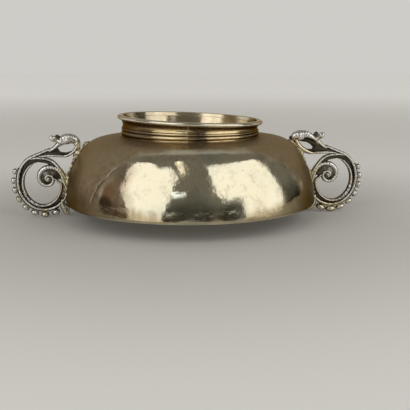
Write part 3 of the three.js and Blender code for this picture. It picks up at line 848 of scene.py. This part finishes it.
class Finish(Nodes):
    """A finish, put together from patterns on the piece's own coordinates. It is metal unless changed."""

    def __init__(self, name, tint=(1, 1, 1)):
        self.material = bpy.data.materials.new(name)
        self.material.use_nodes = True
        super().__init__(self.material.node_tree)
        self.shader = self.tree.nodes["Principled BSDF"]
        self.shader.inputs["Metallic"].default_value = 1
        self.shader.inputs["Specular Tint"].default_value = (*tint, 1)
        self.place = self.add("TexCoord").outputs["Object"]
        self.x, self.y, self.z = self.add("SeparateXYZ", Vector=self.place).outputs

    def noise(self, size, detail=3.0, roughness=0.55, stretch=(1, 1, 1), shift=(0, 0, 0)):
        """Noise with grains of about this size in millimetres, from about 0.25 to 0.75."""
        spot = self.add("Mapping", Vector=self.place, Scale=stretch, Location=shift)
        made = self.add("TexNoise", Vector=spot.outputs[0], Scale=1 / (size * MM), Detail=detail,
                        Roughness=roughness)
        return made.outputs["Fac"]

    def stray(self, value, pattern, amount):
        """Moves a value up and down with a noise."""
        return self.math("ADD", value, self.times(self.math("SUBTRACT", pattern, 0.5), amount))

    def spread(self, pattern, start=0.0, end=1.0):
        """Widens a noise to the whole way from start to end."""
        return self.ramp(pattern, 0.3, 0.7, start, end)

    def attribute(self, name):
        return self.add("Attribute", {"attribute_name": name}).outputs["Fac"]

    def edges(self, low, high, share):
        """Goes from 0 to a share where the surface turns away from the eye, to paint shade at the edges."""
        facing = self.add("LayerWeight", Blend=0.5).outputs["Facing"]
        return self.ramp(facing, low, high, 0.0, share)

    def bump(self, *layers):
        """Adds bumps, each a height, its full depth in millimetres and a strength."""
        normal = None
        for height, depth, strength in layers:
            made = self.add("Bump", Height=height, Distance=depth * MM, Strength=strength)
            if normal is not None:
                self.give(made.inputs["Normal"], normal)
            normal = made.outputs[0]
        self.give(self.shader.inputs["Normal"], normal)

    def done(self, colour, roughness):
        self.give(self.shader.inputs["Base Color"], colour)
        self.give(self.shader.inputs["Roughness"], roughness)
        return self.material


# The polished zone of the bowl's front and back ends in a brown tarnish, which also paints in the dark
# reflections of the sides and top, along a curve over x and the height
FILM_SHIFT = 2
FILM_HALF_WIDTH = 56
FILM_HEIGHT = 35
FILM_POWER = 2.4
FILM_EDGE = (0.86, 1.08)

# The bottom inside the foot ring keeps its polish, up to this radius
POLISHED_BOTTOM = (35.5, 37.5)

# Stains on the front, with two grey-green patches low in the middle that are painted reflection of the dark
# room in front: x, height above the rim and radius, then colour and strength
STAINS_AND_PAINTED_REFLECTIONS = [
    ((-45.3, 13.1, 5), (0.56, 0.35, 0.23), 0.7),
    ((-38.8, 17.5, 6), (0.56, 0.42, 0.3), 0.55),
    ((-38, 10, 6), (0.3, 0.24, 0.16), 0.4),
    ((-46.9, 7.6, 4.4), (0.1, 0.085, 0.06), 0.8),
    ((-36, 24, 6), (0.4, 0.29, 0.21), 0.4),
    # These two are painted reflection, not stains: the dark room in front, mirrored low in the middle
    ((-4, 5, 10), (0.36, 0.36, 0.28), 0.55),
    ((16, 6, 7), (0.32, 0.34, 0.27), 0.5),
    ((53, 14, 4), (0.42, 0.3, 0.18), 0.5),
]

# The crease's x over its height, as a curve, and the height that it spans
CREASE = (-53.9, -0.079, 0.0256)
CREASE_SPAN = (5, 26.5)
CREASE_SHINE = 0.95
PIT_SPACING = 7


def on_front(x, up):
    """The point of the bowl's front at this x and height above the rim."""
    if up <= polar(SIDE_ARC_END, SIDE_ARC_RADIUS)[1]:
        radius = side_centre[0] + math.sqrt(SIDE_ARC_RADIUS ** 2 - up ** 2)
    else:
        radius = shoulder_centre[0] + math.sqrt(SHOULDER_RADIUS ** 2 - (up - shoulder_centre[1]) ** 2)
    return (x, -math.sqrt(max(1, radius ** 2 - x ** 2)), up + RIM_HEIGHT)


def brown_film_and_painted_reflection(f, height, across, clouds):
    """Where the bowl is matt and brown: tarnish, which also paints in the dark reflections of the sides and
    top.
    """
    upward = f.math("DIVIDE", f.math("MAXIMUM", height, 0.0), FILM_HEIGHT * MM)
    upward = f.math("POWER", upward, FILM_POWER)
    film_and_painted_reflection = f.ramp(f.stray(f.math("ADD", across, upward), clouds, 0.5), *FILM_EDGE)
    flat = f.add("CombineXYZ", X=f.x, Y=f.y).outputs[0]
    radius = f.add("VectorMath", {"operation": "LENGTH"}, Vector=flat).outputs["Value"]
    return f.times(film_and_painted_reflection, f.ramp_mm(radius, *POLISHED_BOTTOM))


def polished_silver(f, clouds, fine):
    """Yellow silver with brown grime and a greenish tinge."""
    grime = f.noise(9, 5, 0.7, shift=(3, 1, 2))
    grime = f.ramp(f.math("ADD", grime, f.times(fine, 0.3)), 0.62, 0.86)
    green = f.ramp(f.noise(26, 3, 0.5, shift=(1, 5, 0)), 0.42, 0.66)
    colour = f.mix(clouds, (0.87, 0.82, 0.65), (0.8, 0.73, 0.52))
    colour = f.mix(f.times(grime, 0.55), colour, (0.52, 0.42, 0.29))
    return f.mix(f.times(green, 0.45), colour, (0.58, 0.62, 0.52))


def browned_silver(f, height, fine):
    """The brown of the tarnish that also stands for painted reflection, mottled and rosy in places, and worn
    lighter on the shoulder.
    """
    colour = f.mix(f.spread(fine), (0.26, 0.19, 0.12), (0.47, 0.365, 0.245))
    mottled = f.ramp(f.noise(5, 5, 0.7, shift=(6, 3, 1)), 0.42, 0.7)
    colour = f.mix(f.times(mottled, 0.4), colour, (0.24, 0.18, 0.11))
    rosy = f.ramp(f.noise(13, 4, 0.6, shift=(0, 9, 4)), 0.5, 0.68)
    colour = f.mix(f.times(rosy, 0.5), colour, (0.42, 0.27, 0.19))
    worn = f.times(f.ramp_mm(height, 12, 29, 0.0, 0.5), f.ramp_mm(height, 34, 38, 1.0, 0.1))
    return f.mix(worn, colour, (0.56, 0.46, 0.29))


def with_rim_film_and_painted_reflection(f, colour, height, across):
    """A tarnish that thickens towards the rim, gold in the middle, brown and taller at the sides; it also
    paints in the dark reflection of the floor near the rim.
    """
    streaked = f.noise(5, 4, 0.6, stretch=(1, 1, 0.4), shift=(2, 2, 7))
    low = f.stray(height, streaked, 7 * MM)
    low = f.math("SUBTRACT", low, f.times(f.math("POWER", across, 1.4), 11 * MM))
    film_and_painted_reflection = f.times(f.ramp_mm(low, 0.8, 7, 0.9, 0.0), f.ramp_mm(height, 0.3, 0.8))
    gold = f.mix(streaked, (0.24, 0.18, 0.1), (0.62, 0.5, 0.3))
    brown = f.mix(streaked, (0.1, 0.07, 0.04), (0.3, 0.23, 0.13))
    return f.mix(film_and_painted_reflection, colour, f.mix(f.ramp(across, 0.15, 0.7), gold, brown))


def with_stains_and_painted_reflections(f, colour, fine):
    for (x, up, size), patch_colour, share in STAINS_AND_PAINTED_REFLECTIONS:
        reach = f.add("VectorMath", {"operation": "DISTANCE"}, Vector=f.place)
        reach.inputs[1].default_value = Vector(on_front(x, up)) * MM
        wavy = f.stray(reach.outputs["Value"], fine, 3 * MM)
        colour = f.mix(f.ramp_mm(wavy, 0.5 * size, 1.3 * size, share, 0.0), colour, patch_colour)
    return colour


def crease_lines(f, height):
    """The fold line of the crease on the front, painted dark as shade, and the bright line beside it, a
    painted highlight.
    """
    tall = f.math("DIVIDE", height, MM)
    bent = f.math("MULTIPLY_ADD", tall, f.math("MULTIPLY_ADD", tall, CREASE[2], CREASE[1]), CREASE[0])
    beside = f.math("SUBTRACT", f.math("DIVIDE", f.x, MM), bent)
    beside = f.stray(beside, f.noise(6, 2), 2.5)
    low, high = CREASE_SPAN
    part = f.times(f.ramp(tall, low, low + 4), f.ramp(tall, high - 2, high, 1.0, 0.0))
    part = f.times(part, f.ramp_mm(f.y, -1, 0, 1.0, 0.0))
    fold = f.ramp(f.math("ABSOLUTE", beside), 0.1, 0.75, 1.0, 0.0)
    shine = f.ramp(f.math("ABSOLUTE", f.math("ADD", beside, CREASE_SHINE)), 0.1, 0.6, 0.45, 0.0)
    return f.times(fold, part), f.times(shine, part)


def bowl_finish():
    f = Finish("bowl_silver", tint=(0.55, 0.46, 0.34))
    height = f.math("SUBTRACT", f.z, RIM_HEIGHT * MM)
    sideways = f.math("ABSOLUTE", f.math("SUBTRACT", f.x, FILM_SHIFT * MM))
    across = f.math("POWER", f.math("DIVIDE", sideways, FILM_HALF_WIDTH * MM), FILM_POWER)
    clouds = f.noise(16, 4, 0.6)
    fine = f.noise(2.2, 5, 0.65)
    film_and_painted_reflection = brown_film_and_painted_reflection(f, height, across, clouds)
    colour = with_rim_film_and_painted_reflection(f, polished_silver(f, clouds, fine), height, across)
    colour = f.mix(film_and_painted_reflection, colour, browned_silver(f, height, fine))
    colour = with_stains_and_painted_reflections(f, colour, fine)
    # Painted shade: darker at the sides where the surface turns away from the eye, most near the rim
    sides = f.times(f.edges(0.4, 0.85, 0.5), f.ramp_mm(height, 20, 32, 1.0, 0.0))
    colour = f.mix(sides, colour, (0.12, 0.09, 0.055))
    # Painted reflection of a dark floor: the low ends near the rim are darkened where the surface turns away
    painted_low_end_shade = f.times(f.ramp(across, 0.6, 1.1), f.ramp_mm(height, 5, 17, 1.0, 0.0))
    colour = f.mix(f.times(f.edges(0.1, 0.55, 0.7), painted_low_end_shade), colour, (0.09, 0.062, 0.03))
    # Dark pits, and painted shade along the crease's fold with a painted highlight beside it
    pits = f.add("TexVoronoi", Vector=f.place, Scale=1 / (PIT_SPACING * MM), Randomness=1.0)
    pit = f.ramp(pits.outputs["Distance"], 0.03, 0.075, 1.0, 0.0)
    colour = f.mix(f.times(pit, 0.8), colour, (0.16, 0.13, 0.1))
    fold, shine = crease_lines(f, height)
    colour = f.mix(f.times(fold, 0.8), colour, (0.15, 0.11, 0.07))
    colour = f.mix(shine, colour, (0.8, 0.7, 0.52))
    clean = f.spread(f.noise(5, 4), 0.06, 0.14)
    matt = f.math("ADD", f.spread(fine, 0.32, 0.44), f.ramp_mm(height, 26, 37, 0.0, 0.12))
    wiped = f.noise(0.5, 4, 0.6, stretch=(0.07, 0.07, 1))
    crossed = f.noise(0.6, 3, 0.6, stretch=(1, 0.1, 0.25), shift=(7, 0, 0))
    dimpled = f.noise(3.4, 4, 0.65, shift=(4, 4, 1))
    f.bump((f.noise(9, 3), 0.2, 0.9), (dimpled, 0.04, 0.6), (fine, 0.03, 0.5), (wiped, 0.016, 0.7),
           (crossed, 0.012, 0.5), (pit, -0.06, 0.5), (fold, -0.12, 0.6))
    return f.done(colour, f.blend(film_and_painted_reflection, clean, matt))


def foot_finish(name="foot_silver"):
    """Gold where it is worn and as a painted highlight, brown in the hollows and as painted shade, also at
    the turned-away edges and at the left, and pale where the mesh says so.
    """
    f = Finish(name, tint=(0.45, 0.34, 0.2))
    clouds = f.noise(6, 4, 0.6)
    fine = f.noise(0.9, 4, 0.65)
    gold = f.mix(f.spread(clouds), (0.82, 0.68, 0.4), (0.6, 0.44, 0.22))
    brown = f.mix(f.spread(fine), (0.08, 0.055, 0.03), (0.22, 0.16, 0.09))
    pale = f.mix(f.spread(clouds), (0.94, 0.91, 0.8), (0.76, 0.7, 0.54))
    level = f.stray(f.stray(f.attribute("crest_and_painted_shade"), clouds, 0.7), fine, 0.3)
    bright = f.ramp(level, 0.15, 0.85)
    colour = f.mix(bright, brown, gold)
    # Painted shade: brown where the surface turns away from the eye, and darker towards the left end
    colour = f.mix(f.edges(0.35, 0.9, 0.7), colour, brown)
    colour = f.mix(f.ramp_mm(f.x, -26, -9, 0.5, 0.0), colour, (0.15, 0.095, 0.045))
    colour = f.mix(f.attribute("pale"), colour, pale)
    rough = f.blend(bright, f.spread(fine, 0.24, 0.36), f.spread(clouds, 0.1, 0.18))
    ringed = f.noise(0.35, 3, 0.6, stretch=(0.06, 0.06, 1))
    f.bump((clouds, 0.07, 0.6), (ringed, 0.012, 0.5), (fine, 0.02, 0.5))
    return f.done(colour, rough)


def golden_places(f):
    """Where the handles are golden: in patches, next to the bowl, and low on the right."""
    patches = f.times(f.ramp(f.noise(7, 3), 0.45, 0.62), f.ramp_mm(f.z, 0, 30, 0.75, 0.15))
    right = f.ramp_mm(f.x, 0, 10)
    higher = f.times(right, f.ramp_mm(f.z, 40, 44, 1.0, 0.0))
    lower = f.math("MAXIMUM", f.ramp_mm(f.z, 26, 32, 1.0, 0.0), higher)
    beside = f.times(f.ramp_mm(f.math("ABSOLUTE", f.x), 69, 79, 0.85, 0.0), lower)
    low = f.times(f.ramp_mm(f.z, 5, 12, 0.9, 0.0), f.ramp_mm(f.x, 84, 93, 1.0, 0.0))
    return f.math("MAXIMUM", patches, f.math("MAXIMUM", beside, f.times(low, right)))


def handle_finish():
    """Bright on the ridges and black in the hollows, by the mesh's crest attribute, which also darkens the
    back ears as painted shade.
    """
    f = Finish("handle_silver", tint=(0.55, 0.5, 0.42))
    clouds = f.noise(3.2, 4, 0.6)
    fine = f.noise(0.55, 4, 0.65)
    level = f.stray(f.stray(f.attribute("crest_and_painted_shade"), clouds, 0.6), fine, 0.5)
    bright = f.ramp(level, 0.3, 0.86)
    silvered = f.mix(golden_places(f), (0.955, 0.94, 0.9), (0.89, 0.81, 0.56))
    black = f.mix(fine, (0.04, 0.034, 0.027), (0.17, 0.145, 0.11))
    colour = f.mix(bright, black, silvered)
    # Painted shade: darker where the surface turns away from the eye
    colour = f.mix(f.edges(0.32, 0.8, 0.85), colour, (0.06, 0.05, 0.038))
    f.bump((clouds, 0.25, 0.6), (fine, 0.09, 0.6))
    return f.done(colour, f.blend(bright, 0.5, f.spread(fine, 0.1, 0.2)))


def solder_finish():
    """Lumpy golden solder with dirt between the lumps."""
    f = Finish("golden_solder", tint=(0.88, 0.8, 0.62))
    lumps = f.noise(1.3, 4, 0.6)
    fine = f.noise(0.4, 3, 0.6)
    metal = f.mix(f.noise(4, 2), (0.84, 0.72, 0.42), (0.86, 0.83, 0.7))
    colour = f.mix(f.ramp(lumps, 0.36, 0.58), (0.14, 0.11, 0.07), metal)
    f.bump((lumps, 0.35, 0.8), (fine, 0.06, 0.5))
    return f.done(colour, f.spread(fine, 0.22, 0.42))


# Stage and camera

FLOOR_COLOUR = (0.78, 0.77, 0.74)
FLOOR_HALF_SIZE = 4

# The floor's glow, near the cup and further off, and the distances in millimetres over which it grows. The
# low glow near the cup paints a shadow round it
GLOW_WITH_PAINTED_SHADOW = (0.04, 0.26)
GLOW_EDGE = (75, 260)
FAR_GLOW = 0.285
FAR_GLOW_EDGE = (350, 1600)


def staged(bm, name, material):
    """Turns a bmesh in metres into a piece of the stage."""
    made = as_object(bm, name, material)
    return made


def floor_finish():
    """Part of the floor's paleness is a glow that only the camera and reflections see. The glow is kept low
    near the cup, which paints a shadow round it.
    """
    f = Finish("floor")
    f.shader.inputs["Metallic"].default_value = 0
    f.shader.inputs["Specular IOR Level"].default_value = 0.1
    f.shader.inputs["Emission Color"].default_value = (*FLOOR_COLOUR, 1)
    rays = f.add("LightPath").outputs
    mirrored = f.math("MAXIMUM", rays["Is Glossy Ray"], rays["Is Transmission Ray"])
    seen = f.math("MAXIMUM", rays["Is Camera Ray"], mirrored)
    away = f.add("VectorMath", {"operation": "LENGTH"}, Vector=f.place).outputs["Value"]
    glow = f.math("ADD", f.ramp_mm(away, *GLOW_EDGE, *GLOW_WITH_PAINTED_SHADOW), f.ramp_mm(away, *FAR_GLOW_EDGE, 0.0, FAR_GLOW))
    f.give(f.shader.inputs["Emission Strength"], f.times(seen, glow))
    # Seen from below the floor is clear, so that the underside shows
    below = f.add("NewGeometry").outputs["Backfacing"]
    clear = f.add("BsdfTransparent").outputs[0]
    both = f.filled("MixShader", {}, (below, f.shader.outputs[0], clear))[0]
    f.give(f.tree.nodes["Material Output"].inputs["Surface"], both)
    return f.done(FLOOR_COLOUR, 0.9)


def floor():
    bm = bmesh.new()
    bmesh.ops.create_grid(bm, x_segments=1, y_segments=1, size=FLOOR_HALF_SIZE)
    staged(bm, "floor", floor_finish())


# Soft light panels, a metre from the cup. Their outlines are azimuths and elevations in degrees,
# and give the pale shapes that the bowl mirrors.
PANELS = {
    "left_panel": [(-75, 46), (-62, 55), (-45, 51), (-31, 54), (-16, 40), (-21, 25), (-24, 15), (-29, -1),
                   (-58, -1), (-64, 9), (-70, 16), (-73, 35)],
    "warm_lamp": [(-28.5, 66), (-25.5, 68.5), (-21, 65), (-18.5, 58.5), (-13, 50), (-10.5, 46), (-12.5, 45.5),
                  (-16, 50), (-21.5, 58), (-26.5, 62)],
    "cool_lamp": [(-26, 21), (-20, 25), (-9.5, 26), (-10, 21), (-19, 18.5)],
    "right_panel": [(18.6, 55), (38, 53), (70, 52), (85, 47), (85, 32), (84.4, 14), (84, -1), (41, -1),
                    (40.6, 13), (25.5, 11), (18.7, 24), (17, 46)],
}
PANEL_HEIGHT = 0.02

# Their colours and strengths
PANEL_LIGHT = ((1, 0.98, 0.94), 1.15)
LAMP_LIGHTS = {"warm_lamp": ((1, 0.93, 0.8), 2.1), "cool_lamp": ((0.85, 0.93, 1), 1.5)}


def glowing(name, colour, strength):
    material = bpy.data.materials.new(name)
    material.use_nodes = True
    n = Nodes(material.node_tree)
    n.tree.nodes.clear()
    glow = n.add("Emission", Color=colour, Strength=strength)
    n.add("OutputMaterial", Surface=glow.outputs[0])
    return material


def panels():
    for name, corners in PANELS.items():
        bm = bmesh.new()
        points = []
        for azimuth, elevation in corners:
            level, up = polar(elevation)
            forward, side = polar(azimuth, level)
            points.append(bm.verts.new((side, -forward, up + PANEL_HEIGHT)))
        bm.faces.new(points)
        bmesh.ops.triangulate(bm, faces=bm.faces)
        material = glowing(name, *LAMP_LIGHTS.get(name, PANEL_LIGHT))
        staged(bm, name, material).visible_camera = False


# The room by direction: dark low down, dim above, browner at the far left, and a pale wall behind the cup
ROOM_COLOUR = (0.155, 0.145, 0.125)
ROOM_LOW = (0.06, 0.058, 0.048)
ROOM_RISE = (0.02, 0.3)
LEFT_COLOUR = (0.2, 0.155, 0.115)
LEFT_EDGE = (-0.97, -0.75)
WALL_COLOUR = (0.62, 0.605, 0.575)
WALL_SKEW = 0.15
WALL_EDGE = (0.18, 0.4)
WALL_FADE = (0.09, 0.4)
WALL_HIGH = 0.42


def room():
    world = bpy.data.worlds.new("room")
    bpy.context.scene.world = world
    world.use_nodes = True
    n = Nodes(world.node_tree)
    direction = n.add("TexCoord").outputs["Generated"]
    x, y, z = n.add("SeparateXYZ", Vector=direction).outputs
    behind = n.ramp(n.math("MULTIPLY_ADD", x, -WALL_SKEW, y), *WALL_EDGE)
    wall = n.times(behind, n.ramp(z, *WALL_FADE, 1.0, WALL_HIGH))
    colour = n.mix(n.ramp(z, *ROOM_RISE), ROOM_LOW, ROOM_COLOUR)
    colour = n.mix(n.ramp(x, *LEFT_EDGE, 1.0, 0.0), colour, LEFT_COLOUR)
    n.give(n.tree.nodes["Background"].inputs["Color"], n.mix(wall, colour, WALL_COLOUR))


# The camera, fitted to the photograph. Its place is in millimetres from the middle of the rim's plane
IMAGE_WIDTH = 410
FOCAL_PIXELS = 716.4
SENSOR_WIDTH = 36
EYE = (-31.6, -401.4, 77.7)
EYE_TILT = 78.5
EYE_PAN = -5.68


def camera():
    lens = bpy.data.cameras.new("camera")
    lens.sensor_width = SENSOR_WIDTH
    lens.lens = FOCAL_PIXELS / IMAGE_WIDTH * SENSOR_WIDTH
    lens.clip_start = 0.01
    eye = bpy.data.objects.new("camera", lens)
    eye.location = (Vector(EYE) + Vector((0, 0, RIM_HEIGHT))) * MM
    eye.rotation_euler = (math.radians(EYE_TILT), 0, math.radians(EYE_PAN))
    bpy.context.scene.collection.objects.link(eye)
    bpy.context.scene.camera = eye
    bpy.context.scene.view_settings.view_transform = "Standard"


silver = {
    "bowl": bowl_finish(), "foot": foot_finish(), "foot_solder": foot_finish("foot_solder"),
    "handle": handle_finish(), "solder": solder_finish(),
}
bowl()
foot_band()
foot_moulding()
foot_rim_wire()
foot_solder()
handle("left")
handle("right")
floor()
panels()
room()
camera()
